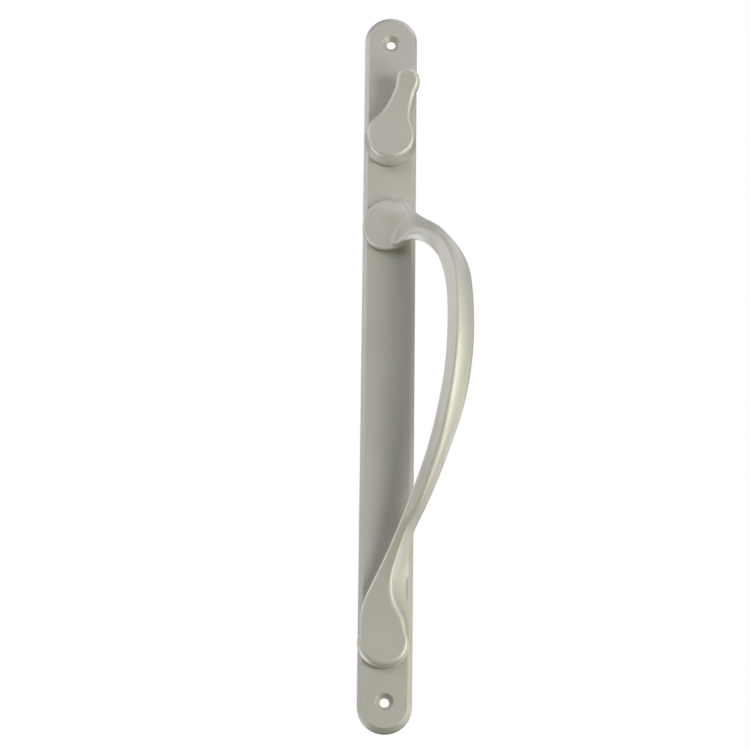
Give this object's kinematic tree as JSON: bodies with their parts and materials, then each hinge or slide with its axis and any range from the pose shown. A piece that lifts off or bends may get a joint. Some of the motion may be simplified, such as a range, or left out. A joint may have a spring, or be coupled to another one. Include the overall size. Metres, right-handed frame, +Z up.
{
  "type": "sliding patio door handle",
  "caption": "Inside trim of a sliding patio door: long narrow escutcheon plate, thumb turn with a tailpiece, and a swept curved pull handle.",
  "frame": {"origin": "midway between the two fixing holes, on the door side of the plate", "axes": "+Z runs up the plate, +Y points into the door (the room side faces -Y), +X is to the right seen from the room"},
  "size_m": [0.0573, 0.088, 0.3864],
  "materials": {
    "satin_nickel": "satin",
    "zinc_steel": "satin",
    "spring_steel": "satin",
    "acetal": "matte"
  },
  "bodies": {
    "trim": {"escutcheon_plate": "satin_nickel", "pull_handle": "satin_nickel", "hub_bushing": "acetal", "spring_washer": "spring_steel", "detent_ball": "zinc_steel", "detent_spring": "spring_steel", "hub_keeper": "zinc_steel", "upper_keeper_screw": "zinc_steel", "lower_keeper_screw": "zinc_steel", "upper_handle_screw": "zinc_steel", "lower_handle_screw": "zinc_steel", "upper_lock_washer": "spring_steel", "lower_lock_washer": "spring_steel", "upper_flat_washer": "zinc_steel", "lower_flat_washer": "zinc_steel"},
    "turn": {"thumb_turn": "satin_nickel", "index_cam": "zinc_steel", "retaining_clip": "spring_steel", "tailpiece": "zinc_steel", "tailpiece_pin": "spring_steel"}
  },
  "joints": [
    {"name": "thumb_turn_pivot", "type": "hinge", "parent": "trim", "child": "turn", "pos_m": [0.0002, 0, 0.1207], "axis": [0, 1, 0], "range_deg": [0, 90]}
  ]
}
